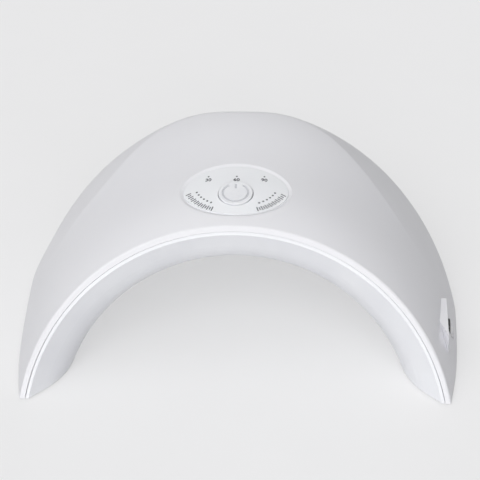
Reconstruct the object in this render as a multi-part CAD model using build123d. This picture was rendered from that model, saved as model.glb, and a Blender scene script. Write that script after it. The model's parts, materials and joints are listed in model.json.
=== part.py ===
from build123d import *
import math
import os
from functools import lru_cache

# LED nail lamp, in millimetres.
# While it is built, Y runs from the front foot tips towards the back, and X is across.
# Z is up from the table, and the last step puts the origin under the middle of the lamp.

# Outer form of the case
FRONT_WIDTH = 196.0
BODY_WIDTH = 205.8
BODY_DEPTH = 150.0
FRONT_RISE = 81.6
RIDGE_RISE = 88.6
FRONT_LEAN = 25.6

# Arches of the hood, one after the other from front to back:
# floor position as a share of the depth, then how far the arch has grown
# from the front width to the body width, and from the front rise to the ridge rise
HOOD_ARCHES = (
    (-0.080, -0.30, -0.44),
    (0.000, 0.00, 0.00),
    (0.167, 0.71, 0.64),
    (0.300, 0.94, 0.77),
    (0.453, 1.00, 1.00),
    (0.627, 1.00, 0.66),
    (0.833, 1.00, -0.58),
    (1.050, 1.00, -2.30),
)

# Dome that rounds the back off: how its outline narrows and draws forward with height
DOME_MARGIN = 0.6
DOME_SHOULDER_Y = 39.7
SIDE_TAPER = 0.135
SIDE_CURVE = 0.485
BACK_SWELL = 0.167
BACK_CURVE = 0.375
FLOOR_SQUARENESS = 2.8
SQUARENESS_GAIN = 0.75
DOME_LEVELS = (-0.05, 0.25, 0.55, 0.82, 1.07)
OUTLINE_SPANS = 12

# Walls and gaps of the two mouldings
CASE_WALL = 2.5
SEAM_GAP = 0.35
LIP_ROUNDING = 1.1
CREASE_ROUNDING = 5.0
LINER_SKIN = 2.0
BASE_THICKNESS = 2.4
FOOT_PROUD = 0.8

# Mouth of the lamp: the flared rim and the neck behind it
RIM_SETBACK = 0.2
RIM_FACE = 1.3
RIM_SKIRT = 1.6
RIM_SKIRT_DEPTH = 5.0
FLARE_ANGLE = 45.0
NECK_RADIUS = 82.0
NECK_DEPTH = 24.0
CAVITY_INSET = 16.0

# Control panel on the roof, and the button in it
BUTTON_Y = 55.5
PANEL_TILT = 6.5
PANEL_LENGTH = 51.0
PANEL_WIDTH = 36.6
PANEL_OFFSET = 3.3
PANEL_DEPTH = 0.9
PANEL_BEVEL = 1.6
PANEL_BEVEL_DEPTH = 0.7
INLAY_THICKNESS = 0.5
INLAY_MARGIN = 0.2
BUTTON_DIAMETER = 15.6
BUTTON_GAP = 0.3
BUTTON_PROUD = 0.3
BUTTON_EDGE = 0.4
SYMBOL_RADIUS = 5.7
SYMBOL_STROKE = 1.0
SYMBOL_DEPTH = 0.3
SYMBOL_GAP_ANGLE = 64.0
SYMBOL_BAR = (2.8, 6.0)
BUTTON_FLANGE_DIAMETER = 18.0
BUTTON_FLANGE_DROP = 3.1
BUTTON_FLANGE_THICKNESS = 1.0
BUTTON_STEM_DIAMETER = 4.0
BUTTON_TRAVEL = 0.6

# Control board under the panel, with what is soldered to it
BOARD_DROP = 12.0
BOARD_LENGTH = 46.0
BOARD_WIDTH = 31.4
BOARD_THICKNESS = 1.6
BOARD_POST_X = 19.5
BOARD_POST_Y = 12.2
BOARD_POST_DIAMETER = 5.2
SWITCH_SIDE = 6.2
SWITCH_HEIGHT = 3.6
PLUNGER_DIAMETER = 3.5
PLUNGER_GAP = 0.1
PLUNGER_PROUD = 1.1
PLUNGER_SUNK = 0.6
INDICATOR_PITCH = 12.5
INDICATOR_Y = 12.8
INDICATOR_SIZE = (2.0, 1.2, 0.8)
LIGHT_PIPE_DIAMETER = 2.0
LIGHT_PIPE_GAP = 0.1
MICROCONTROLLER_SIZE = (5.0, 4.0, 1.6)
MICROCONTROLLER_PLACE = (11.0, -10.0)
TRANSISTOR_SIZE = (6.5, 6.0, 2.3)
TRANSISTOR_PLACE = (14.5, 0.0)
CAPACITOR_DIAMETER = 6.3
CAPACITOR_HEIGHT = 5.7
CAPACITOR_ROUNDING = 0.5
CAPACITOR_PLACE = (-12.0, -8.0)
CONNECTOR_SIZE = (7.0, 5.0, 5.0)
LED_CONNECTOR_X = 14.0
LED_CONNECTOR_Y = -2.0
POWER_CONNECTOR_Y = -12.0

# Small screws, each with a head, a shank and the hole that it cuts its thread in
BOARD_SCREW = {"head": 4.0, "head_height": 1.4, "shank": 1.6, "length": 6.5}
STRIP_SCREW = {"head": 4.0, "head_height": 1.3, "shank": 1.6, "length": 3.9}
CASE_SCREW = {"head": 5.6, "head_height": 1.2, "shank": 2.2, "length": 12.0}
SCREW_GAP = 0.05
SCREW_PASSAGE_GAP = 0.35
PILOT_RUN = 0.6

# Light strips over the roof of the hand space
STRIP_ANGLES = (-38.0, -14.0, 14.0, 38.0)
STRIP_MIDDLE_Y = 80.0
STRIP_LENGTH = 68.0
STRIP_WIDTH = 11.0
STRIP_THICKNESS = 1.2
STRIP_STANDOFF = 4.2
STRIP_SCREW_PITCH = 60.0
STRIP_BOSS_DIAMETER = 5.0
LED_PITCH = 24.0
LEDS_PER_STRIP = 3
LED_SIDE = 3.5
LED_HEIGHT = 1.2
LENS_DIAMETER = 5.0
LENS_GAP = 0.2
LENS_PROUD = 1.2
LENS_FLANGE_DIAMETER = 6.6
LENS_FLANGE_LIFT = 0.15

# Power socket in the right side wall
SOCKET_Y = 40.0
SOCKET_Z = 12.0
SOCKET_HOLE_DIAMETER = 9.6
SOCKET_WIDTH = 9.6
SOCKET_HEIGHT = 10.8
SOCKET_LENGTH = 14.0
SOCKET_INSET = 11.25
CRADLE_MARGIN = 1.0
SOCKET_NOSE_DIAMETER = 9.2
SOCKET_NOSE_LENGTH = 6.8
SOCKET_BORE_DIAMETER = 5.6
SOCKET_BORE_DEPTH = 9.5
SOCKET_PIN_DIAMETER = 2.1
SOCKET_PIN_SETBACK = 0.6

# Flat-topped ledge on the side wall over the socket, with its slanted front end
LEDGE_ROOT_INSET = 10.8
LEDGE_EDGE_INSET = 6.15
LEDGE_BACK_Y = 48.2
LEDGE_ROOT_FRONT_Y = 34.8
LEDGE_FRONT_SLOPE = 3.0
LEDGE_TOP_Z = 23.3
LEDGE_DEPTH = 11.5

# Feet, and the posts that the case screws pull on
FOOT_DIAMETER = 8.0
FOOT_THICKNESS = 1.6
FOOT_GAP = 0.15
FRONT_FOOT = (90.5, 15.0)
REAR_FOOT = (62.0, 132.0)
POST_DIAMETER = 6.4
POST_PLACES = ((86.5, 54.0), (84.0, 94.0), (36.0, 142.2))
HEAD_RECESS_GAP = 0.2
HEAD_RECESS_DEPTH = 1.4

# Insulated leads inside the case
LEAD_DIAMETER = 1.6
LEAD_SPACING = 2.4
LEAD_EXIT_Y = 68.0
LEAD_INSET = 2.0
BEND_SHARE = 0.45
# Routes of the strips' leads: the turns between the straight ends are counted from where
# a lead leaves its strip, with X away from the middle of the lamp
INNER_STRIP_LEAD = {"first_run": 4.5, "turns": ((4.7, -3.5, 8.4), (4.1, -8.6, 9.9)), "last_run": 4.2}
OUTER_STRIP_LEAD = {"first_run": 3.6, "turns": ((2.2, -1.1, 9.0), (-7.0, -5.2, 14.9)), "last_run": 11.6}
# Turning points of the socket's leads: the first two are counted from where a lead
# leaves the socket, and the last two from where it enters the connector
SOCKET_LEAD_START = ((0.0, 0.0, 13.0), (-13.0, 3.0, 29.0))
SOCKET_LEAD_END = ((40.0, -1.0, -3.0), (24.0, 0.0, -0.5))

# Room beyond the solids, so that a cut comes out clean
BEYOND = 60.0
FAR = 400.0
PROBE = 0.02
ROOF_LOW = -8.0
ROOF_HIGH = 5.0

LEAN = math.radians(FRONT_LEAN)
BACKWARD = Vector(0, math.cos(LEAN), -math.sin(LEAN))
FRONT_HALF = FRONT_WIDTH / 2
BODY_HALF = BODY_WIDTH / 2
ARCH_RADIUS = (FRONT_HALF**2 + FRONT_RISE**2) / (2 * FRONT_RISE)
ARCH_DROP = ARCH_RADIUS - FRONT_RISE
RIDGE_HEIGHT = RIDGE_RISE * math.cos(LEAN)
RIM_HEIGHT = FRONT_RISE * math.cos(LEAN)
BASE_TOP = FOOT_PROUD + BASE_THICKNESS
LINER_INSET = CASE_WALL + SEAM_GAP


def leaning_plane(floor_y=0.0):
    """Plane of an arch, leaning back from a line on the floor."""
    facing = BACKWARD * -1
    return Plane(origin=(0, floor_y, 0), x_dir=(1, 0, 0), z_dir=facing)


def behind_front(setback):
    """Everything behind the leaning front plane, from a setback on."""
    start = Plane(origin=BACKWARD * setback, x_dir=(1, 0, 0), z_dir=BACKWARD)
    return extrude(start * Rectangle(FAR, FAR), FAR)


def above(height):
    return Pos(0, 0, height) * Box(FAR, FAR * 2, FAR, align=(Align.CENTER, Align.CENTER, Align.MIN))


def rod(diameter, low, high, x=0.0, y=0.0):
    """Round bar along Z between two heights."""
    bar = Cylinder(diameter / 2, high - low, align=(Align.CENTER, Align.CENTER, Align.MIN))
    return Pos(x, y, low) * bar


def block(length, width, low, high, x=0.0, y=0.0):
    """Rectangular block between two heights."""
    box = Box(length, width, high - low, align=(Align.CENTER, Align.CENTER, Align.MIN))
    return Pos(x, y, low) * box


def hood_arch(floor_y, half_width, rise):
    """One arch of the hood: an elliptical arc over a straight foot below the floor."""
    upright = rise + ARCH_DROP
    across = half_width / math.sqrt(1 - (ARCH_DROP / upright) ** 2)
    with BuildSketch(leaning_plane(floor_y)) as arch:
        with BuildLine():
            EllipticalCenterArc((0, -ARCH_DROP), across, upright, start_angle=0, arc_size=180)
            Line((-across, -ARCH_DROP), (across, -ARCH_DROP))
        make_face()
    return arch.sketch


@lru_cache(maxsize=None)
def hood(inset):
    """The tunnel-like hood, drawn in by an inset."""
    arches = []
    for place, width_share, rise_share in HOOD_ARCHES:
        half_width = FRONT_HALF + width_share * (BODY_HALF - FRONT_HALF) - inset
        rise = FRONT_RISE + rise_share * (RIDGE_RISE - FRONT_RISE) - inset
        arches.append(hood_arch(place * BODY_DEPTH, half_width, rise))
    return loft(arches)


def dome_outline(level, inset):
    """Outline of the dome at one height: straight sides, then a rounded back."""
    height = level * RIDGE_HEIGHT
    half = (BODY_HALF + DOME_MARGIN) * (1 - SIDE_TAPER * level - SIDE_CURVE * level**2) - inset
    back = BODY_DEPTH * (1 + BACK_SWELL * level - BACK_CURVE * level**2) - inset
    power = 2 / (FLOOR_SQUARENESS + SQUARENESS_GAIN * level)
    points = []
    for step in range(OUTLINE_SPANS + 1):
        turn = math.pi * step / OUTLINE_SPANS
        across = math.copysign(abs(math.cos(turn)) ** power, math.cos(turn))
        along = abs(math.sin(turn)) ** power
        points.append((half * across, DOME_SHOULDER_Y + (back - DOME_SHOULDER_Y) * along))
    with BuildSketch(Plane.XY.offset(height)) as outline:
        with BuildLine():
            Spline(*points, tangents=[(0, 1), (0, -1)])
            Polyline((-half, DOME_SHOULDER_Y), (-half, -BEYOND), (half, -BEYOND), (half, DOME_SHOULDER_Y))
        make_face()
    return outline.sketch


@lru_cache(maxsize=None)
def dome(inset):
    """The dome that closes the back, drawn in by an inset."""
    return loft([dome_outline(level, inset) for level in DOME_LEVELS])


@lru_cache(maxsize=None)
def case_form(inset):
    """Hood and dome together: the form of the whole lamp, drawn in by an inset."""
    return hood(inset) & dome(inset)


def roof_height(y):
    """Height of the roof over the middle line at one place."""
    probe = Pos(0, y, RIDGE_HEIGHT) * Box(PROBE, PROBE, RIDGE_HEIGHT)
    return (hood(0.0) & probe).bounding_box().max.Z


TILT = math.radians(PANEL_TILT)
PANEL = Plane(
    origin=(0, BUTTON_Y, roof_height(BUTTON_Y)),
    x_dir=(1, 0, 0),
    z_dir=(0, -math.sin(TILT), math.cos(TILT)),
)
BOARD_TOP = -BOARD_DROP
BOARD_BOTTOM = BOARD_TOP - BOARD_THICKNESS
SWITCH_TOP = BOARD_TOP + SWITCH_HEIGHT
PLUNGER_TOP = SWITCH_TOP + PLUNGER_PROUD
SOCKET_SHOULDER_X = BODY_HALF - SOCKET_INSET


def panel_prism(margin):
    """Upright oval through the roof, drawn in from the panel's outline by a margin."""
    oval = Ellipse(PANEL_LENGTH / 2 - margin, PANEL_WIDTH / 2 - margin)
    return PANEL * extrude(Pos(0, PANEL_OFFSET, ROOF_LOW) * oval, ROOF_HIGH - ROOF_LOW)


def button_hole():
    return PANEL * rod(BUTTON_DIAMETER + 2 * BUTTON_GAP, ROOF_LOW, ROOF_HIGH)


def board_post_places():
    return [(x, y) for x in (-BOARD_POST_X, BOARD_POST_X) for y in (-BOARD_POST_Y, BOARD_POST_Y)]


def post_places():
    return [(side * x, y) for x, y in POST_PLACES for side in (-1, 1)]


def foot_places():
    return [(side * x, y) for x, y in (FRONT_FOOT, REAR_FOOT) for side in (-1, 1)]


def screw(size):
    """Screw along -Z under its head, whose underside is at zero."""
    head = rod(size["head"], 0, size["head_height"])
    shank = rod(size["shank"], -size["length"], 0)
    return head + shank


def pilot(size, low, high, x=0.0, y=0.0):
    """Hole that a screw cuts its thread in."""
    return rod(size["shank"] + 2 * SCREW_GAP, low, high, x, y)


def passage(size, low, high, x=0.0, y=0.0):
    """Hole that a screw passes through freely."""
    return rod(size["shank"] + 2 * SCREW_PASSAGE_GAP, low, high, x, y)


def board_posts():
    """Posts that hang from the roof and carry the control board."""
    posts = Part()
    for x, y in board_post_places():
        posts += PANEL * rod(BOARD_POST_DIAMETER, BOARD_TOP, 0, x, y)
    return posts & case_form(CASE_WALL / 2)


def case_posts():
    """Posts that rise from the base to the wall, for the case screws."""
    posts = Part()
    for x, y in post_places():
        posts += rod(POST_DIAMETER, BASE_TOP, RIDGE_HEIGHT, x, y)
    return posts & case_form(CASE_WALL / 2)


def socket_ledge():
    """Pad that grows out of the side wall over the power socket."""
    root_x = BODY_HALF - LEDGE_ROOT_INSET
    edge_x = BODY_HALF - LEDGE_EDGE_INSET
    edge_front = LEDGE_ROOT_FRONT_Y - LEDGE_FRONT_SLOPE * (edge_x - root_x)
    root = (root_x, LEDGE_ROOT_FRONT_Y), (root_x, LEDGE_BACK_Y)
    edge = (edge_x, LEDGE_BACK_Y), (edge_x, edge_front)
    plan = make_face(Polyline(*root, *edge, close=True))
    return extrude(Pos(0, 0, LEDGE_TOP_Z - LEDGE_DEPTH) * plan, LEDGE_DEPTH) - case_form(CASE_WALL)


def outer_shell():
    shell = case_form(0.0) & above(FOOT_PROUD) & behind_front(0.0)
    lip = [edge for edge in shell.edges() if edge.length > FRONT_WIDTH and on_front_plane(edge)]
    shell = fillet(lip, LIP_ROUNDING)
    crease = max(shell.edges(), key=lambda edge: edge.bounding_box().max.Z)
    shell = fillet(crease, CREASE_ROUNDING)
    shell -= panel_prism(PANEL_BEVEL) - hood(PANEL_DEPTH)
    rims = [edge for edge in shell.edges() if on_panel_rim(edge)]
    rim = max(rims, key=lambda edge: edge.center(CenterOf.BOUNDING_BOX).Z)
    roof = max(rim_faces(shell, rim), key=lambda face: face.area)
    shell = chamfer(rim, PANEL_BEVEL, PANEL_BEVEL_DEPTH, reference=roof)
    shell -= case_form(CASE_WALL)
    shell += board_posts()
    shell += case_posts()
    shell += socket_ledge()
    shell -= button_hole()
    for column in (-1, 0, 1):
        diameter = LIGHT_PIPE_DIAMETER + 2 * LIGHT_PIPE_GAP
        shell -= PANEL * rod(diameter, ROOF_LOW, ROOF_HIGH, column * INDICATOR_PITCH, INDICATOR_Y)
    board_pilot_top = BOARD_BOTTOM + BOARD_SCREW["length"] + PILOT_RUN
    for x, y in board_post_places():
        shell -= PANEL * pilot(BOARD_SCREW, BOARD_TOP, board_pilot_top, x, y)
    case_pilot_top = FOOT_PROUD + HEAD_RECESS_DEPTH + CASE_SCREW["length"] + PILOT_RUN
    for x, y in post_places():
        shell -= pilot(CASE_SCREW, BASE_TOP, case_pilot_top, x, y)
    shell -= socket_hole()
    return shell


def on_front_plane(edge):
    """True for an edge that lies in the leaning front plane."""
    middle = edge.position_at(0.5)
    return abs(middle.Y * math.cos(LEAN) - middle.Z * math.sin(LEAN)) < 0.01


def on_panel_rim(edge):
    """True for an edge that runs round the panel's recess."""
    box = edge.bounding_box()
    length = PANEL_LENGTH - 2 * PANEL_BEVEL
    return edge.is_closed and abs(box.size.X - length) < PANEL_BEVEL and box.center().Z > RIM_HEIGHT


def rim_faces(solid, edge):
    """Faces of a solid that meet in an edge."""
    return [face for face in solid.faces() if any(edge.is_same(other) for other in face.edges())]


def socket_hole():
    return socket_frame() * rod(SOCKET_HOLE_DIAMETER, 0, BEYOND)


def throat(skin, front):
    """Body of revolution inside the flared rim, grown outwards by a skin."""
    angle = math.radians(FLARE_ANGLE)
    rim = ARCH_RADIUS - LINER_INSET - RIM_FACE
    fall = rim - NECK_RADIUS
    depth = NECK_DEPTH - RIM_SETBACK
    bend = (depth * math.tan(angle) - fall) / (1 / math.cos(angle) - 1)
    centre_r = NECK_RADIUS + bend
    radius = bend - skin
    start = (rim + skin / math.cos(angle), RIM_SETBACK)
    join = (centre_r - radius * math.cos(angle), NECK_DEPTH - radius * math.sin(angle))
    middle = (centre_r - radius * math.cos(angle / 2), NECK_DEPTH - radius * math.sin(angle / 2))
    end = (NECK_RADIUS + skin, NECK_DEPTH)
    origin = Vector(0, -ARCH_DROP * math.sin(LEAN), -ARCH_DROP * math.cos(LEAN))
    section = Plane(origin=origin, x_dir=(1, 0, 0), z_dir=(0, math.sin(LEAN), math.cos(LEAN)))
    with BuildSketch(section) as profile:
        with BuildLine():
            Polyline((0, NECK_DEPTH), (0, front), (start[0], front), start, join)
            ThreePointArc(join, middle, end)
            Line(end, (0, NECK_DEPTH))
        make_face()
    return revolve(profile.sketch, Axis(origin, BACKWARD), 360)


def tunnel(skin):
    """Hand space behind the neck: the neck's circle carried straight back."""
    centre = BACKWARD * NECK_DEPTH - Vector(0, math.sin(LEAN), math.cos(LEAN)) * ARCH_DROP
    neck = Plane(origin=centre, x_dir=(1, 0, 0), z_dir=BACKWARD * -1)
    bar = extrude(neck * Circle(NECK_RADIUS + skin), BODY_DEPTH, dir=(0, 1, 0))
    return bar & dome(CAVITY_INSET - skin)


def strip_frame(angle, y):
    """Frame on the roof of the hand space: X along the lamp, Z out of the roof."""
    turn = math.radians(angle)
    across = NECK_RADIUS
    upright = NECK_RADIUS * math.cos(LEAN)
    low = (BACKWARD * NECK_DEPTH).Z - ARCH_DROP * math.cos(LEAN)
    origin = (across * math.sin(turn), y, low + upright * math.cos(turn))
    outward = Vector(math.sin(turn) / across, 0, math.cos(turn) / upright)
    return Plane(origin=origin, x_dir=(0, 1, 0), z_dir=outward)


def led_frames():
    """Frames of the lamps, strip by strip from the front."""
    frames = []
    for angle in STRIP_ANGLES:
        for place in range(LEDS_PER_STRIP):
            offset = (place - (LEDS_PER_STRIP - 1) / 2) * LED_PITCH
            frames.append(strip_frame(angle, STRIP_MIDDLE_Y + offset))
    return frames


def strip_screw_frames(angle):
    reach = STRIP_SCREW_PITCH / 2
    return [strip_frame(angle, STRIP_MIDDLE_Y + offset) for offset in (-reach, reach)]


def strip_bosses():
    """Bosses on the liner's roof that the light strips are screwed to."""
    bosses = Part()
    for angle in STRIP_ANGLES:
        for frame in strip_screw_frames(angle):
            bosses += frame * rod(STRIP_BOSS_DIAMETER, 0, STRIP_STANDOFF)
    return bosses


def socket_cradle():
    """Pad on the base that the power socket sits on."""
    middle = SOCKET_SHOULDER_X - SOCKET_LENGTH / 2
    top = SOCKET_Z - SOCKET_HEIGHT / 2
    length = SOCKET_LENGTH - 2 * CRADLE_MARGIN
    width = SOCKET_WIDTH - 2 * CRADLE_MARGIN
    return block(length, width, FOOT_PROUD, top, middle, SOCKET_Y)


def inner_liner():
    cavity = throat(0.0, -BEYOND) + tunnel(0.0)
    base = above(FOOT_PROUD) - above(BASE_TOP)
    skirt = (behind_front(RIM_SETBACK) - behind_front(RIM_SKIRT_DEPTH)) - hood(LINER_INSET + RIM_SKIRT)
    body = throat(LINER_SKIN, 0.0) + tunnel(LINER_SKIN)
    body += base
    body += skirt
    body += strip_bosses()
    body += socket_cradle()
    body &= case_form(LINER_INSET)
    body &= above(FOOT_PROUD)
    body &= behind_front(RIM_SETBACK)
    body -= cavity
    for frame in led_frames():
        body -= frame * rod(LENS_DIAMETER + 2 * LENS_GAP, -LINER_SKIN, STRIP_STANDOFF)
    strip_pilot_low = STRIP_STANDOFF + STRIP_THICKNESS - STRIP_SCREW["length"] - PILOT_RUN
    for angle in STRIP_ANGLES:
        for frame in strip_screw_frames(angle):
            body -= frame * pilot(STRIP_SCREW, strip_pilot_low, STRIP_STANDOFF)
    for x, y in post_places():
        body -= passage(CASE_SCREW, 0, BASE_TOP, x, y)
        body -= rod(CASE_SCREW["head"] + 2 * HEAD_RECESS_GAP, 0, FOOT_PROUD + HEAD_RECESS_DEPTH, x, y)
    for x, y in foot_places():
        body -= rod(FOOT_DIAMETER + 2 * FOOT_GAP, 0, FOOT_THICKNESS, x, y)
    return body


def panel_inlay():
    """Printed oval that lies in the recess, curved like the roof."""
    inlay = panel_prism(PANEL_BEVEL + INLAY_MARGIN)
    inlay &= hood(PANEL_DEPTH - INLAY_THICKNESS)
    inlay -= hood(PANEL_DEPTH)
    return inlay - button_hole()


def power_symbol():
    """Sunken power symbol: a ring open at the back, and a bar in its gap."""
    half_gap = SYMBOL_GAP_ANGLE / 2
    with BuildSketch() as symbol:
        with BuildLine():
            ring = CenterArc((0, 0), SYMBOL_RADIUS, 90 + half_gap, 360 - SYMBOL_GAP_ANGLE)
        trace(ring, line_width=SYMBOL_STROKE)
        with BuildLine():
            bar = Line((0, SYMBOL_BAR[0]), (0, SYMBOL_BAR[1]))
        trace(bar, line_width=SYMBOL_STROKE)
    return extrude(Pos(0, 0, BUTTON_PROUD - SYMBOL_DEPTH) * symbol.sketch, SYMBOL_DEPTH)


def power_button():
    cap = rod(BUTTON_DIAMETER, -BUTTON_FLANGE_DROP, BUTTON_PROUD)
    cap = fillet(cap.edges().sort_by(Axis.Z)[-1], BUTTON_EDGE)
    flange_low = -BUTTON_FLANGE_DROP - BUTTON_FLANGE_THICKNESS
    cap += rod(BUTTON_FLANGE_DIAMETER, flange_low, -BUTTON_FLANGE_DROP)
    cap += rod(BUTTON_STEM_DIAMETER, PLUNGER_TOP, flange_low)
    return PANEL * (cap - power_symbol())


def switch_body():
    """Push switch on the board, with a round well for its plunger."""
    body = block(SWITCH_SIDE, SWITCH_SIDE, BOARD_TOP, SWITCH_TOP)
    well_low = SWITCH_TOP - PLUNGER_SUNK - BUTTON_TRAVEL - 3 * PLUNGER_GAP
    return PANEL * (body - rod(PLUNGER_DIAMETER + 2 * PLUNGER_GAP, well_low, SWITCH_TOP))


def switch_plunger():
    return PANEL * rod(PLUNGER_DIAMETER, SWITCH_TOP - PLUNGER_SUNK, PLUNGER_TOP)


def control_board():
    board = block(BOARD_LENGTH, BOARD_WIDTH, BOARD_BOTTOM, BOARD_TOP)
    for x, y in board_post_places():
        board -= passage(BOARD_SCREW, BOARD_BOTTOM, BOARD_TOP, x, y)
    return PANEL * board


def board_screws():
    turned = Rotation(180, 0, 0) * screw(BOARD_SCREW)
    return [PANEL * Pos(x, y, BOARD_BOTTOM) * turned for x, y in board_post_places()]


def on_board(size, place):
    """Block soldered to the top of the board."""
    return PANEL * block(size[0], size[1], BOARD_TOP, BOARD_TOP + size[2], *place)


def capacitor():
    can = rod(CAPACITOR_DIAMETER, BOARD_TOP, BOARD_TOP + CAPACITOR_HEIGHT, *CAPACITOR_PLACE)
    return PANEL * fillet(can.edges().sort_by(Axis.Z)[-1], CAPACITOR_ROUNDING)


def connector_places():
    return [(-LED_CONNECTOR_X, LED_CONNECTOR_Y), (LED_CONNECTOR_X, LED_CONNECTOR_Y), (0, POWER_CONNECTOR_Y)]


def board_connectors():
    """Lead connectors on the underside of the board."""
    length, width, height = CONNECTOR_SIZE
    low = BOARD_BOTTOM - height
    return [PANEL * block(length, width, low, BOARD_BOTTOM, x, y) for x, y in connector_places()]


def indicator_led(column):
    length, width, height = INDICATOR_SIZE
    return on_board((length, width, height), (column * INDICATOR_PITCH, INDICATOR_Y))


def light_pipe(column):
    """Clear rod that carries an indicator's light up to the panel."""
    low = BOARD_TOP + INDICATOR_SIZE[2]
    pipe = PANEL * rod(LIGHT_PIPE_DIAMETER, low, ROOF_HIGH, column * INDICATOR_PITCH, INDICATOR_Y)
    return pipe & hood(PANEL_DEPTH + LIGHT_PIPE_GAP / 2)


def led_strip(angle):
    """Aluminium strip that carries the lamps and spreads their heat."""
    frame = strip_frame(angle, STRIP_MIDDLE_Y)
    strip = frame * block(STRIP_LENGTH, STRIP_WIDTH, STRIP_STANDOFF, STRIP_STANDOFF + STRIP_THICKNESS)
    for place in strip_screw_frames(angle):
        strip -= place * passage(STRIP_SCREW, STRIP_STANDOFF, STRIP_STANDOFF + STRIP_THICKNESS)
    return strip


def strip_screws():
    screws = []
    for angle in STRIP_ANGLES:
        for frame in strip_screw_frames(angle):
            screws.append(frame * Pos(0, 0, STRIP_STANDOFF + STRIP_THICKNESS) * screw(STRIP_SCREW))
    return screws


def led_package(frame):
    return frame * block(LED_SIDE, LED_SIDE, STRIP_STANDOFF - LED_HEIGHT, STRIP_STANDOFF)


def led_lens(frame):
    """Clear dome over a lamp, through its hole in the liner."""
    shoulder = LENS_DIAMETER / 2 - LENS_PROUD
    top = STRIP_STANDOFF - LED_HEIGHT
    lens = rod(LENS_DIAMETER, shoulder, top) + Pos(0, 0, shoulder) * Sphere(LENS_DIAMETER / 2)
    lens += rod(LENS_FLANGE_DIAMETER, LINER_SKIN + LENS_FLANGE_LIFT, top)
    return frame * (lens - rod(LENS_FLANGE_DIAMETER, top, top + LENS_DIAMETER))


def socket_frame():
    """Frame at the socket's shoulder: Z points out of the case."""
    return Plane(origin=(SOCKET_SHOULDER_X, SOCKET_Y, SOCKET_Z), x_dir=(0, 1, 0), z_dir=(1, 0, 0))


def dc_socket_body():
    body = block(SOCKET_WIDTH, SOCKET_HEIGHT, -SOCKET_LENGTH, 0)
    body += rod(SOCKET_NOSE_DIAMETER, 0, SOCKET_NOSE_LENGTH)
    body -= rod(SOCKET_BORE_DIAMETER, SOCKET_NOSE_LENGTH - SOCKET_BORE_DEPTH, SOCKET_NOSE_LENGTH)
    return socket_frame() * body


def dc_socket_pin():
    """Centre contact that stands in the socket's bore."""
    low = SOCKET_NOSE_LENGTH - SOCKET_BORE_DEPTH
    return socket_frame() * rod(SOCKET_PIN_DIAMETER, low, SOCKET_NOSE_LENGTH - SOCKET_PIN_SETBACK)


def rubber_feet():
    return [rod(FOOT_DIAMETER, 0, FOOT_THICKNESS, x, y) for x, y in foot_places()]


def case_screws():
    """Screws from below, with their heads sunk in the base."""
    turned = Rotation(180, 0, 0) * screw(CASE_SCREW)
    return [Pos(x, y, FOOT_PROUD + HEAD_RECESS_DEPTH) * turned for x, y in post_places()]


def bend_radii(points):
    """Radius of each bend: as large as the two runs beside it allow."""
    radii = []
    for before, corner, after in zip(points, points[1:], points[2:]):
        run_in = corner - before
        run_out = after - corner
        half_turn = math.radians(run_in.get_angle(run_out)) / 2
        radii.append(BEND_SHARE * min(run_in.length, run_out.length) / math.tan(half_turn))
    return radii


def lead(points):
    """Insulated lead along straight runs joined by round bends."""
    radii = bend_radii(points)
    print("bend radii of a lead:", [round(radius, 1) for radius in radii])
    path = FilletPolyline(*points, radius=radii)
    start = Plane(origin=path @ 0, z_dir=path % 0)
    return sweep(start * Circle(LEAD_DIAMETER / 2), path=path)


def panel_point(x, y, z):
    return PANEL.from_local_coords(Vector(x, y, z))


def strip_lead(angle):
    """Lead from the top of a light strip to the connector on its side."""
    side = math.copysign(1, angle)
    outer = abs(angle) > (abs(STRIP_ANGLES[0]) + abs(STRIP_ANGLES[1])) / 2
    route = OUTER_STRIP_LEAD if outer else INNER_STRIP_LEAD
    frame = strip_frame(angle, LEAD_EXIT_Y)
    height = STRIP_STANDOFF + STRIP_THICKNESS
    start = frame.from_local_coords(Vector(0, 0, height))
    lifted = frame.from_local_coords(Vector(0, 0, height + route["first_run"]))
    turns = [start + Vector(side * x, y, z) for x, y, z in route["turns"]]
    face_x = LED_CONNECTOR_X + CONNECTOR_SIZE[0] / 2
    row = LED_CONNECTOR_Y + (-LEAD_SPACING if outer else LEAD_SPACING) / 2
    level = BOARD_BOTTOM - CONNECTOR_SIZE[2] / 2
    before = panel_point(side * (face_x + route["last_run"]), row, level)
    end = panel_point(side * face_x, row, level)
    return lead([start, lifted] + turns + [before, end])


def socket_lead(side):
    """Lead from the power socket up the side wall to its connector."""
    x = SOCKET_SHOULDER_X - SOCKET_LENGTH + LEAD_INSET
    start = Vector(x, SOCKET_Y + side * LEAD_SPACING / 2, SOCKET_Z + SOCKET_HEIGHT / 2)
    level = BOARD_BOTTOM - CONNECTOR_SIZE[2] / 2
    end = panel_point(CONNECTOR_SIZE[0] / 2, POWER_CONNECTOR_Y + side * LEAD_SPACING / 2, level)
    rising = [start + Vector(*step) for step in SOCKET_LEAD_START]
    arriving = [end + Vector(*step) for step in SOCKET_LEAD_END]
    return lead([start] + rising + arriving + [end])


def numbered(prefix, shapes):
    return {f"{prefix}_{number:02d}": shape for number, shape in enumerate(shapes, 1)}


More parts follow.
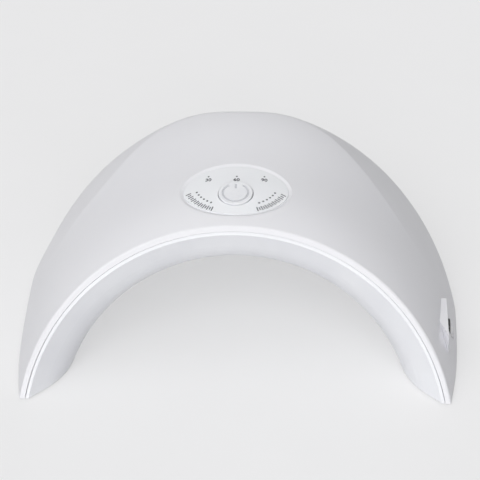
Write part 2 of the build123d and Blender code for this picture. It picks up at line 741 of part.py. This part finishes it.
def lamp_nodes():
    """Every piece of the lamp under its node name."""
    nodes = {
        "outer_shell": outer_shell(),
        "inner_liner": inner_liner(),
        "panel_inlay": panel_inlay(),
        "power_button": power_button(),
        "switch_plunger": switch_plunger(),
        "switch_body": switch_body(),
        "control_board": control_board(),
        "board_screws": board_screws(),
        "microcontroller": on_board(MICROCONTROLLER_SIZE, MICROCONTROLLER_PLACE),
        "power_transistor": on_board(TRANSISTOR_SIZE, TRANSISTOR_PLACE),
        "capacitor": capacitor(),
        "board_connectors": board_connectors(),
        "dc_socket_body": dc_socket_body(),
        "dc_socket_pin": dc_socket_pin(),
        "strip_screws": strip_screws(),
        "case_screws": case_screws(),
        "rubber_feet": rubber_feet(),
        "socket_lead_front": socket_lead(-1),
        "socket_lead_rear": socket_lead(1),
    }
    for name, column in (("left", -1), ("middle", 0), ("right", 1)):
        nodes[f"indicator_led_{name}"] = indicator_led(column)
        nodes[f"light_pipe_{name}"] = light_pipe(column)
    nodes.update(numbered("led_strip", [led_strip(angle) for angle in STRIP_ANGLES]))
    nodes.update(numbered("strip_lead", [strip_lead(angle) for angle in STRIP_ANGLES]))
    nodes.update(numbered("led_package", [led_package(frame) for frame in led_frames()]))
    nodes.update(numbered("led_lens", [led_lens(frame) for frame in led_frames()]))
    return nodes


def write_parts():
    """One STEP file for each node, with the origin under the middle of the lamp."""
    back = BODY_DEPTH * (1 + BACK_SWELL**2 / (4 * BACK_CURVE))
    front = FOOT_PROUD * math.tan(LEAN)
    to_centre = Pos(0, -(front + back) / 2, 0)
    os.makedirs("parts", exist_ok=True)
    for name, shape in lamp_nodes().items():
        solids = shape if isinstance(shape, list) else [shape]
        pieces = [solid for part in solids for solid in (to_centre * part).solids()]
        export_step(pieces[0] if len(pieces) == 1 else Compound(children=pieces), f"parts/{name}.step")


write_parts()
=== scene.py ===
# %% [markdown]
# # A one-hand lamp for curing nail gel
# The lamp is a hooded white case, open at the front and below. Its solids come
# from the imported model, and every solid keeps its place. This lesson gives each
# of them a finish, prints the marks on its panel, and sets it in a small studio.

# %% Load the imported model
import json
import math

import bpy
from mathutils import Matrix, Vector


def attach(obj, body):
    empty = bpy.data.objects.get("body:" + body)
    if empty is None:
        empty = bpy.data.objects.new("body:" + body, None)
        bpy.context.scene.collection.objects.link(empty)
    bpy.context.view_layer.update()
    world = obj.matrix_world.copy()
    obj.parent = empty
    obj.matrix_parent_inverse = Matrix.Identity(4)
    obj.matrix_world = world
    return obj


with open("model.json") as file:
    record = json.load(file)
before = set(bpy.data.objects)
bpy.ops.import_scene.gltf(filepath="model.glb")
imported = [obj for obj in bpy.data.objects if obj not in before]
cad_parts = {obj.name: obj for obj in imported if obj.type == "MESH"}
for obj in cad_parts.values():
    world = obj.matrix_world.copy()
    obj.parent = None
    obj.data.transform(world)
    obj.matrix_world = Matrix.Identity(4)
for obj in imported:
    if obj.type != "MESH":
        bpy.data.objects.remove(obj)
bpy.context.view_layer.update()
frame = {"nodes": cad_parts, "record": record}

# %% [markdown]
# ## Units and selection
# Lengths below are written in millimetres, as on a maker's drawing, and turned
# into metres at the last moment. Loading leaves every solid selected, and an
# operator acts on all that is selected, so each step starts from nothing.

# %% Millimetres and a clean selection
MM = 0.001


def select_nothing():
    """Leaves edit mode and clears the selection."""
    if bpy.context.object and bpy.context.object.mode != "OBJECT":
        bpy.ops.object.mode_set(mode="OBJECT")
    bpy.ops.object.select_all(action="DESELECT")


select_nothing()
print("solids loaded:", len(frame["nodes"]))

# %% [markdown]
# ## The camera
# The photograph looks down at the open front from about 38 degrees, slightly
# from the right, through a long lens that keeps the arch from looking bulged.
# Placing the camera first means that everything later is judged from there.
# It could aim with a constraint, but three axes say its small roll as well.

# %% Place the camera
LOOK_AT = Vector((0, -16.586, 30)) * MM
DISTANCE = 890 * MM
ELEVATION = math.radians(37.9)
TURN = math.radians(3.45)
ROLL = math.radians(-1.6)
SENSOR_WIDTH = 36
FOCAL_LENGTH = 142.75
FRAME_SHIFT = (0.0035, 0.0612)

towards_camera = Vector((math.sin(TURN) * math.cos(ELEVATION),
                         -math.cos(TURN) * math.cos(ELEVATION),
                         math.sin(ELEVATION)))
level_right = Vector((0, 0, 1)).cross(towards_camera).normalized()
level_up = towards_camera.cross(level_right)
camera_right = level_right * math.cos(ROLL) + level_up * math.sin(ROLL)
camera_up = level_up * math.cos(ROLL) - level_right * math.sin(ROLL)

bpy.ops.object.camera_add(location=LOOK_AT + towards_camera * DISTANCE)
camera = bpy.context.object
camera.name = "studio_camera"
axes = Matrix((camera_right, camera_up, towards_camera)).transposed()
camera.rotation_euler = axes.to_euler()
camera.data.sensor_width = SENSOR_WIDTH
camera.data.lens = FOCAL_LENGTH
camera.data.shift_x, camera.data.shift_y = FRAME_SHIFT
bpy.context.scene.camera = camera
bpy.context.scene.view_settings.view_transform = "Standard"
print("camera at", [round(v, 3) for v in camera.location])

# %% [markdown]
# ## The studio
# White plastic on a pale table only reads by its soft shadows. A wide, low lamp
# in front reaches in under the arch, one high on the left makes the left side
# the bright one, and a weaker one above the back draws the hood's slope. Near
# panels would fade across the table, so the lamps are suns with a wide angle:
# as soft as a large box, and even everywhere.

# %% Light the studio
def add_lamp(name, strength, angle, turn, height):
    """A wide, far lamp. turn is degrees from the front, minus to the left."""
    bpy.ops.object.light_add(type="SUN")
    lamp = bpy.context.object
    lamp.name = name
    lamp.data.energy = strength
    lamp.data.angle = math.radians(angle)
    across, up = math.radians(turn), math.radians(height)
    comes_from = Vector((math.sin(across) * math.cos(up),
                         -math.cos(across) * math.cos(up), math.sin(up)))
    lamp.rotation_euler = comes_from.to_track_quat("Z", "Y").to_euler()
    return lamp


front = add_lamp("front_softbox", 2.18, 75, 0, 29)
left = add_lamp("left_softbox", 0.98, 60, -60, 55)
back = add_lamp("back_softbox", 0.7, 70, 180, 70)
print("lamps:", front.name, left.name, back.name)

# %% [markdown]
# ## The sky
# The sky does two jobs. To the camera, and to gloss and clear parts that show
# it, it is an even pale backdrop. To everything else it is a very weak blue
# fill. A backdrop sheet would also do, but it would throw light on the lamp.

# %% Tell seen rays from light
def seen_directly(tree):
    """1 for rays from the camera, and for gloss and clear parts that show it."""
    path = tree.nodes.new("ShaderNodeLightPath")
    total = path.outputs["Is Camera Ray"]
    for kind in ("Is Glossy Ray", "Is Transmission Ray"):
        either = tree.nodes.new("ShaderNodeMath")
        either.operation = "MAXIMUM"
        tree.links.new(total, either.inputs[0])
        tree.links.new(path.outputs[kind], either.inputs[1])
        total = either.outputs[0]
    return total


# %% Fill from the sky
FILL_STRENGTH = 0.02
FILL_COLOUR = (0.96, 0.975, 1, 1)
BACKDROP_COLOUR = (0.815, 0.815, 0.83, 1)

world = bpy.data.worlds.new("studio_sky")
world.use_nodes = True
bpy.context.scene.world = world
sky = world.node_tree
fill = sky.nodes["Background"]
fill.inputs["Color"].default_value = FILL_COLOUR
fill.inputs["Strength"].default_value = FILL_STRENGTH
backdrop = sky.nodes.new("ShaderNodeBackground")
backdrop.inputs["Color"].default_value = BACKDROP_COLOUR
backdrop.inputs["Strength"].default_value = 1
choose = sky.nodes.new("ShaderNodeMixShader")
sky.links.new(seen_directly(sky), choose.inputs[0])
sky.links.new(fill.outputs[0], choose.inputs[1])
sky.links.new(backdrop.outputs[0], choose.inputs[2])
sky.links.new(choose.outputs[0], sky.nodes["World Output"].inputs["Surface"])
print("sky fill:", FILL_STRENGTH)

# %% [markdown]
# ## Building blocks for finishes
# Real plastic is never one flat colour. Its tone drifts over centimetres, its
# polish over millimetres, and the mould leaves a fine skin. Four small helpers
# make that: a grain of a given size, a tone between two colours, a span between
# two numbers, and a relief of a given depth. All read the solid's own place, so
# the grain stays put when the button moves.

# %% Grain, tone, span and relief
NOISE_LOW = 0.3
NOISE_HIGH = 0.7


def colour(red, green, blue):
    """A display colour from 0 to 255 as the linear value that shaders take."""
    return [((c / 255 + 0.055) / 1.055) ** 2.4 for c in (red, green, blue)] + [1]


class Finish:
    """A material under construction, with its nodes at hand."""

    def __init__(self, name):
        self.material = bpy.data.materials.new(name)
        self.material.use_nodes = True
        self.tree = self.material.node_tree
        self.shader = self.tree.nodes["Principled BSDF"]
        self.place = self.tree.nodes.new("ShaderNodeTexCoord").outputs["Object"]

    def join(self, output, node, socket):
        self.tree.links.new(output, node.inputs[socket])

    def set(self, **sockets):
        """Constant values on the shader's own sockets."""
        for name, value in sockets.items():
            self.shader.inputs[name.replace("_", " ")].default_value = value

    def grain(self, size, detail=2, stretch=(1, 1, 1)):
        """Soft noise whose spots are about size millimetres across."""
        spread = self.tree.nodes.new("ShaderNodeMapping")
        spread.inputs["Scale"].default_value = stretch
        self.join(self.place, spread, "Vector")
        noise = self.tree.nodes.new("ShaderNodeTexNoise")
        noise.inputs["Scale"].default_value = 1 / (size * MM)
        noise.inputs["Detail"].default_value = detail
        self.join(spread.outputs["Vector"], noise, "Vector")
        return noise.outputs["Fac"]

    def tone(self, source, dark, light, low=NOISE_LOW, high=NOISE_HIGH):
        """The base colour runs from dark to light as source does."""
        ramp = self.tree.nodes.new("ShaderNodeValToRGB")
        ramp.color_ramp.elements[0].position = low
        ramp.color_ramp.elements[1].position = high
        ramp.color_ramp.elements[0].color = colour(*dark)
        ramp.color_ramp.elements[1].color = colour(*light)
        self.join(source, ramp, "Fac")
        self.join(ramp.outputs["Color"], self.shader, "Base Color")
        return ramp.outputs["Color"]

    def polish(self, source, smooth, rough):
        """Roughness runs from smooth to rough as source does."""
        span = self.tree.nodes.new("ShaderNodeMapRange")
        span.inputs["From Min"].default_value = NOISE_LOW
        span.inputs["From Max"].default_value = NOISE_HIGH
        span.inputs["To Min"].default_value = smooth
        span.inputs["To Max"].default_value = rough
        self.join(source, span, "Value")
        self.join(span.outputs["Result"], self.shader, "Roughness")

    def relief(self, source, depth, strength=0.5):
        """Raises the surface by up to depth millimetres where source is high."""
        bump = self.tree.nodes.new("ShaderNodeBump")
        bump.inputs["Distance"].default_value = depth * MM
        bump.inputs["Strength"].default_value = strength
        self.join(source, bump, "Height")
        self.join(bump.outputs["Normal"], self.shader, "Normal")


finishes = {}
print("finish helpers ready")

# %% [markdown]
# ## The white plastics
# The hood is smooth moulded plastic with a soft shine and a faint orange peel.
# It could be glossier, but then it mirrors the lamps as white patches. The liner
# comes from a spark-eroded mould, so it is satin with a fine grain that hides
# the hand's marks. The panel is a clear-faced plate, a little glassier and
# cooler than the hood, and the button is a plain moulded cap.

# %% Smooth hood
hood = Finish("smooth_hood")
hood.tone(hood.grain(38, 3), (229, 229, 233), (231, 231, 234), 0.1, 0.9)
hood.polish(hood.grain(14, 1), 0.38, 0.41)
hood.relief(hood.grain(1.6, 0), 0.002, 0.2)
hood.set(IOR=1.45, Specular_IOR_Level=0.4, Coat_Weight=0.05, Coat_Roughness=0.25)
finishes["shell_white"] = hood

# %% Satin liner
liner = Finish("satin_liner")
liner.tone(liner.grain(30, 3), (230, 231, 235), (236, 237, 240))
liner.polish(liner.grain(6, 3), 0.36, 0.46)
liner.relief(liner.grain(0.35, 2), 0.010, 0.35)
liner.set(IOR=1.5)
finishes["liner_white"] = liner

# %% Clear-faced panel and its button
plate = Finish("clear_faced_plate")
plate.tone(plate.grain(20, 2), (236, 238, 241), (239, 240, 243))
plate.polish(plate.grain(4, 3), 0.30, 0.34)
plate.relief(plate.grain(5, 1), 0.003, 0.2)
plate.set(IOR=1.5, Coat_Weight=0.15, Coat_Roughness=0.15)
finishes["panel_white"] = plate

cap = Finish("button_cap")
cap.tone(cap.grain(7, 3), (230, 231, 235), (236, 237, 240))
cap.polish(cap.grain(2, 3), 0.26, 0.38)
cap.relief(cap.grain(0.5, 2), 0.004, 0.3)
finishes["button_white"] = cap
print("white plastics:", sorted(finishes))

# %% [markdown]
# ## The small dark plastics and rubber
# The socket, the switch and the chips are filled black plastics, matt and
# slightly uneven. The switch has a red plunger, the feet are grey rubber that
# picks up dust, and the leads have a soft vinyl skin with a slow waver in it.

# %% Black plastics, plunger, rubber and leads
def matt_plastic(name, dark, light, size, rough, depth=0.006):
    """Filled plastic: a fine speckle in its tone, its polish and its skin."""
    finish = Finish(name)
    speckle = finish.grain(size, 4)
    finish.tone(speckle, dark, light)
    finish.polish(finish.grain(size * 6, 2), rough - 0.06, rough + 0.06)
    finish.relief(speckle, depth, 0.4)
    return finish


finishes["switch_black"] = matt_plastic(
    "switch_case", (26, 26, 28), (38, 38, 40), 0.3, 0.5)
finishes["chip_black"] = matt_plastic(
    "chip_case", (20, 20, 21), (33, 33, 34), 0.15, 0.6)
finishes["socket_black"] = matt_plastic(
    "socket_case", (18, 18, 19), (30, 30, 32), 0.4, 0.45)
finishes["plunger_red"] = matt_plastic(
    "switch_plunger", (150, 38, 30), (172, 50, 40), 0.4, 0.45)
finishes["connector_white"] = matt_plastic(
    "connector_case", (214, 210, 198), (226, 223, 212), 0.5, 0.5)
finishes["foot_rubber"] = matt_plastic(
    "foot_rubber", (176, 176, 178), (196, 196, 197), 0.25, 0.8, 0.02)
finishes["lead_red"] = matt_plastic(
    "red_lead", (158, 26, 24), (178, 36, 32), 2.5, 0.42)
finishes["lead_black"] = matt_plastic(
    "black_lead", (24, 24, 25), (38, 38, 39), 2.5, 0.42)
print("finishes so far:", len(finishes))

# %% [markdown]
# ## The metals
# The lamp strips are rolled aluminium, so their grain is drawn out along the
# strip. Screws are plated steel with a fine turned grain, the capacitor has a
# drawn can, and the socket's pin is plated brass, dulled a little by plugs.

# %% Aluminium, steel and brass
def bare_metal(name, dark, light, size, stretch, smooth, rough):
    """Metal with a grain that rolling or turning has drawn out."""
    finish = Finish(name)
    drawn = finish.grain(size, 3, stretch)
    finish.tone(drawn, dark, light)
    finish.polish(drawn, smooth, rough)
    finish.relief(drawn, 0.003, 0.3)
    finish.set(Metallic=1)
    return finish


finishes["strip_aluminium"] = bare_metal(
    "rolled_strip", (206, 207, 210), (226, 227, 229), 0.5, (1, 0.04, 1), 0.28, 0.42)
finishes["can_aluminium"] = bare_metal(
    "drawn_can", (190, 191, 195), (216, 217, 220), 0.4, (1, 1, 0.06), 0.2, 0.34)
finishes["screw_steel"] = bare_metal(
    "plated_screw", (166, 167, 170), (196, 196, 199), 0.3, (1, 1, 0.3), 0.24, 0.4)
finishes["pin_brass"] = bare_metal(
    "plated_pin", (188, 164, 104), (214, 192, 132), 0.4, (0.1, 1, 1), 0.22, 0.38)
print("finishes so far:", len(finishes))

# %% [markdown]
# ## The board, the lamps and the clear parts
# Solder mask is a green varnish over copper lines, which show as slightly
# lighter bands. Each lamp is a pale ceramic block under a clear silicone dome.
# The light pipes are clear rods, frosted a little by their mould. Clear parts
# could be done with a thin see-through shader, but they are thick, so they
# transmit and bend light as a solid does.

# %% Board with its copper lines
COPPER_PITCH = 6

board = Finish("solder_mask")
lines = board.tree.nodes.new("ShaderNodeTexBrick")
lines.inputs["Scale"].default_value = 1 / (COPPER_PITCH * MM)
lines.inputs["Mortar Size"].default_value = 0.06
lines.inputs["Mortar Smooth"].default_value = 0.3
board.join(board.place, lines, "Vector")
board.tone(lines.outputs["Fac"], (14, 92, 52), (34, 122, 72), 0.1, 0.9)
board.polish(board.grain(1.5, 2), 0.24, 0.34)
board.relief(lines.outputs["Fac"], 0.02, 0.4)
finishes["board_green"] = board

# %% Ceramic blocks and clear parts
finishes["led_ceramic"] = matt_plastic(
    "led_block", (222, 219, 206), (236, 233, 222), 0.2, 0.4)


def clear_part(name, tint, smooth, rough):
    """Solid clear resin with a slightly wavy skin."""
    finish = Finish(name)
    waver = finish.grain(1.2, 2)
    finish.tone(waver, [t - 6 for t in tint], tint)
    finish.polish(waver, smooth, rough)
    finish.relief(finish.grain(0.8, 1), 0.004, 0.2)
    finish.set(Transmission_Weight=1, IOR=1.45)
    return finish


finishes["lens_clear"] = clear_part("lamp_dome", (246, 248, 252), 0.03, 0.08)
finishes["pipe_clear"] = clear_part("light_pipe", (240, 243, 248), 0.15, 0.3)
print("finishes:", len(finishes))

# %% Give every solid its finish
for part in frame["record"]["subparts"]:
    solid = frame["nodes"][part["node"]]
    solid.material_slots[0].material = finishes[part["material_slot"]].material

# %% [markdown]
# ## Ink for the panel
# The plate is marked by screen printing: a thin even film of grey ink. Paint in
# the plate's own material could show it too, but a film has an edge and a
# thickness of its own. So each mark is a flat shape, which is laid down on the
# curved plate and given its few hundredths of a millimetre.

# %% Two inks
dark_ink = Finish("dark_ink")
dark_ink.tone(dark_ink.grain(0.6, 2), (70, 71, 77), (84, 85, 91))
dark_ink.polish(dark_ink.grain(1, 2), 0.4, 0.5)
dark_ink.set(IOR=1.45)

soft_ink = Finish("soft_ink")
soft_ink.tone(soft_ink.grain(0.8, 2), (198, 199, 204), (207, 208, 213))
soft_ink.polish(soft_ink.grain(1, 2), 0.4, 0.5)
soft_ink.set(IOR=1.45)
print("inks:", dark_ink.material.name, soft_ink.material.name)

# %% Edit, join and ink a flat mark
INK_THICKNESS = 0.04
INK_LIFT = 0.005


def edit_all():
    """Enters edit mode with the whole mesh selected."""
    bpy.ops.object.mode_set(mode="EDIT")
    bpy.ops.mesh.select_all(action="SELECT")


def leave_edit():
    bpy.ops.object.mode_set(mode="OBJECT")


def joined(pieces, name):
    """One object made of several."""
    select_nothing()
    for piece in pieces:
        piece.select_set(True)
    bpy.context.view_layer.objects.active = pieces[0]
    if len(pieces) > 1:
        bpy.ops.object.join()
    bpy.context.object.name = name
    return bpy.context.object


def ink_film(piece, ink, body):
    """Gives a flat mark the ink's thickness, its colour and its body."""
    film = piece.modifiers.new("film", "SOLIDIFY")
    film.thickness = INK_THICKNESS * MM
    film.offset = 1
    bpy.ops.object.modifier_apply(modifier=film.name)
    piece.data.materials.clear()
    piece.data.materials.append(ink.material)
    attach(piece, body)
    print(piece.name, "faces:", len(piece.data.polygons))


def lay_down(piece):
    """Drops a flat piece on the plate below it, as dark ink."""
    select_nothing()
    piece.select_set(True)
    bpy.context.view_layer.objects.active = piece
    bpy.ops.object.transform_apply(location=True, rotation=True, scale=True)
    drop = piece.modifiers.new("drop", "SHRINKWRAP")
    drop.target = frame["nodes"]["panel_inlay"]
    drop.wrap_method = "PROJECT"
    drop.use_project_z = True
    drop.use_negative_direction = True
    drop.use_positive_direction = False
    drop.offset = INK_LIFT * MM
    bpy.ops.object.modifier_apply(modifier=drop.name)
    ink_film(piece, dark_ink, "housing")


# %% [markdown]
# ## Timer numbers and their lights
# Under each of three small windows stands the time that it shows, in seconds.
# The numbers are text objects, turned into meshes before they are placed, and
# each window is a small disc, made of a circle whose face is filled and inset.

# %% Numbers and windows
NUMBER_SIZE = 2.9
NUMBER_WEIGHT = 0.07
TIMES = (("30", -12.9, -10.6), ("60", 0, -11.2), ("90", 12.6, -10.4))
WINDOW_RADIUS = 0.42
WINDOW_OVER_NUMBER = 2.55
DISC_STEPS = 24
RIM_SHARE = 0.3
MARK_HEIGHT = 79


def number_mark(label, x, y):
    """A number lying flat over the plate, with its middle at x, y."""
    select_nothing()
    bpy.ops.object.text_add()
    mark = bpy.context.object
    mark.data.body = label
    mark.data.size = NUMBER_SIZE * MM
    mark.data.offset = NUMBER_WEIGHT * MM
    mark.data.align_x = "CENTER"
    mark.data.align_y = "CENTER"
    mark.data.resolution_u = 4
    bpy.ops.object.convert(target="MESH")
    mark = bpy.context.object
    mark.location = (x * MM, y * MM, MARK_HEIGHT * MM)
    bpy.ops.object.transform_apply(location=True)
    return mark


def disc_mark(radius, x, y):
    """A small round mark: a filled circle with an inset rim."""
    select_nothing()
    bpy.ops.mesh.primitive_circle_add(
        vertices=DISC_STEPS, radius=radius * MM, fill_type="NGON",
        location=(x * MM, y * MM, MARK_HEIGHT * MM))
    mark = bpy.context.object
    edit_all()
    bpy.ops.mesh.inset(thickness=radius * RIM_SHARE * MM)
    leave_edit()
    bpy.ops.object.transform_apply(location=True)
    return mark


marks = []
for label, x, y in TIMES:
    marks.append(number_mark(label, x, y))
    marks.append(disc_mark(WINDOW_RADIUS, x, y + WINDOW_OVER_NUMBER))
timer_print = joined(marks, "timer_print")
lay_down(timer_print)

# %% [markdown]
# ## Scales beside the button
# Two rows of marks follow the oval on each side: a ruler of long and short ticks
# outside, and a row of dots inside. An array along a curve could do it too, but
# it bends the ticks. So one tick of each length is shaped from a plane, with
# its corners rounded, and the others are copies with their own mesh, turned to
# stand square to their row.

# %% A stroke of ink
def stroke_mark(width, length, rounding, y=0):
    """A flat upright stroke with rounded corners, its middle at y."""
    select_nothing()
    bpy.ops.mesh.primitive_plane_add(size=MM, location=(0, y * MM, 0))
    mark = bpy.context.object
    edit_all()
    bpy.ops.transform.resize(value=(width, length, 1))
    bpy.ops.mesh.bevel(offset=width * rounding * MM, segments=2, affect="VERTICES")
    leave_edit()
    return mark


# %% Ticks and dots
TICK_WIDTH = 0.5
TICK_ROUNDING = 0.3
TICK_LENGTHS = (2.6, 1.7)
TICKS = 15
DOT_RADIUS = 0.46
DOTS = 6
TICK_ROW = ((21.5, -19.6), (16.6, -26.6), (10.2, -30.6))
DOT_ROW = ((17.7, -18.9), (14.9, -23.3), (10.8, -26.6))


def along(row, share):
    """Point on the smooth curve through three points, and its direction."""
    start, middle, end = [Vector(point) for point in row]
    point = (start * (1 - share) * (1 - 2 * share) + middle * 4 * share * (1 - share)
             + end * share * (2 * share - 1))
    way = start * (4 * share - 3) + middle * (4 - 8 * share) + end * (4 * share - 1)
    return point, math.atan2(way.y, way.x)


def copy_at(model, x, y, turn):
    """A copy of a mark with its own mesh, at x, y and turned about Z."""
    copy = model.copy()
    copy.data = model.data.copy()
    bpy.context.collection.objects.link(copy)
    copy.location = (x * MM, y * MM, MARK_HEIGHT * MM)
    copy.rotation_euler = (0, 0, turn)
    return copy


def scale_print(side, name):
    """The ruler and the dots on one side, minus for the left."""
    models = [stroke_mark(TICK_WIDTH, length, TICK_ROUNDING) for length in TICK_LENGTHS]
    marks = []
    for number in range(TICKS):
        point, way = along(TICK_ROW, number / (TICKS - 1))
        model = models[number % len(models)]
        marks.append(copy_at(model, side * point.x, point.y, side * way))
    for number in range(DOTS):
        point, way = along(DOT_ROW, number / (DOTS - 1))
        marks.append(disc_mark(DOT_RADIUS, side * point.x, point.y))
    for model in models:
        bpy.data.objects.remove(model)
    return joined(marks, name)


for side, name in ((-1, "scale_print_left"), (1, "scale_print_right")):
    lay_down(scale_print(side, name))

# %% [markdown]
# ## Ink in the button's symbol
# The cap has a power symbol moulded into it, a ring with a gap and a bar, and a
# soft grey ink lies on the groove's floor. The ring starts as a circle, which is
# extruded and widened into a flat band, and the faces in the gap are deleted. A
# spun edge would do as well, but a band is easier to keep even.

# %% Ring with its gap
RING_RADIUS = 5.7
RING_GAP = 64
RING_STEPS = 90
INK_WIDTH = 0.9

inner_radius = RING_RADIUS - INK_WIDTH / 2
outer_radius = RING_RADIUS + INK_WIDTH / 2
widened = outer_radius / inner_radius

select_nothing()
bpy.ops.mesh.primitive_circle_add(
    vertices=RING_STEPS, radius=inner_radius * MM, location=(0, 0, 0))
ring = bpy.context.object
edit_all()
bpy.ops.mesh.extrude_edges_move()
bpy.ops.transform.resize(value=(widened, widened, 1), center_override=(0, 0, 0))
bpy.ops.mesh.select_mode(type="FACE")
bpy.ops.mesh.select_all(action="DESELECT")
leave_edit()
for face in ring.data.polygons:
    from_back = math.degrees(math.atan2(face.center.x, face.center.y))
    face.select = abs(from_back) < RING_GAP / 2
bpy.ops.object.mode_set(mode="EDIT")
bpy.ops.mesh.delete(type="FACE")
bpy.ops.mesh.select_all(action="SELECT")
bpy.ops.mesh.normals_make_consistent(inside=False)
leave_edit()
print("ring faces:", len(ring.data.polygons))

# %% Bar, and the whole symbol set in the cap
BUTTON_PLACE = Vector((0, -21.086, 77.187)) * MM
BUTTON_TILT = math.radians(6.5)
BAR_MIDDLE = 4.4
BAR_LENGTH = 3.1
BAR_ROUNDING = 0.2

bar = stroke_mark(INK_WIDTH, BAR_LENGTH, BAR_ROUNDING, BAR_MIDDLE)
symbol_ink = joined([ring, bar], "symbol_ink")
if symbol_ink.data.polygons[0].normal.z < 0:
    edit_all()
    bpy.ops.mesh.flip_normals()
    leave_edit()
symbol_ink.matrix_world = (Matrix.Translation(BUTTON_PLACE)
                           @ Matrix.Rotation(BUTTON_TILT, 4, "X"))
bpy.ops.object.transform_apply(location=True, rotation=True, scale=True)
ink_film(symbol_ink, soft_ink, "button")

# %% [markdown]
# ## The table
# The table is a single pale sheet, and it belongs to the stage and not to the
# lamp. In the photograph the floor under the arch is almost as light as the
# open table. So the sheet shows the camera a part of its own pale glow and a
# part of the light that falls on it, and the shadows stay, only softer. More
# lamps could lift the floor too, but they would bleach the lamp on it. The
# glow shows only to rays that see the sheet, and hardly lights the lamp.

# %% Lay the table
TABLE_SIZE = 8

bpy.ops.mesh.primitive_plane_add(size=TABLE_SIZE, location=(0, 0, 0))
table = bpy.context.object
table.name = "studio_table"
sheet = Finish("pale_table")
sheet.tone(sheet.grain(60, 2), (222, 222, 224), (224, 224, 226))
sheet.polish(sheet.grain(10, 2), 0.7, 0.8)
sheet.set(Specular_IOR_Level=0.2)
table.data.materials.append(sheet.material)
print("table across, m:", TABLE_SIZE)

# %% Let the table show its own glow
GLOW_SHARE = 0.5

share = sheet.tree.nodes.new("ShaderNodeMath")
share.operation = "MULTIPLY"
share.inputs[1].default_value = GLOW_SHARE
sheet.join(seen_directly(sheet.tree), share, 0)
glow = sheet.tree.nodes.new("ShaderNodeEmission")
glow.inputs["Color"].default_value = (1, 1, 1, 1)
blend = sheet.tree.nodes.new("ShaderNodeMixShader")
sheet.join(share.outputs[0], blend, 0)
sheet.join(sheet.shader.outputs[0], blend, 1)
sheet.join(glow.outputs[0], blend, 2)
sheet.join(blend.outputs[0], sheet.tree.nodes["Material Output"], "Surface")
print("glow share:", GLOW_SHARE)
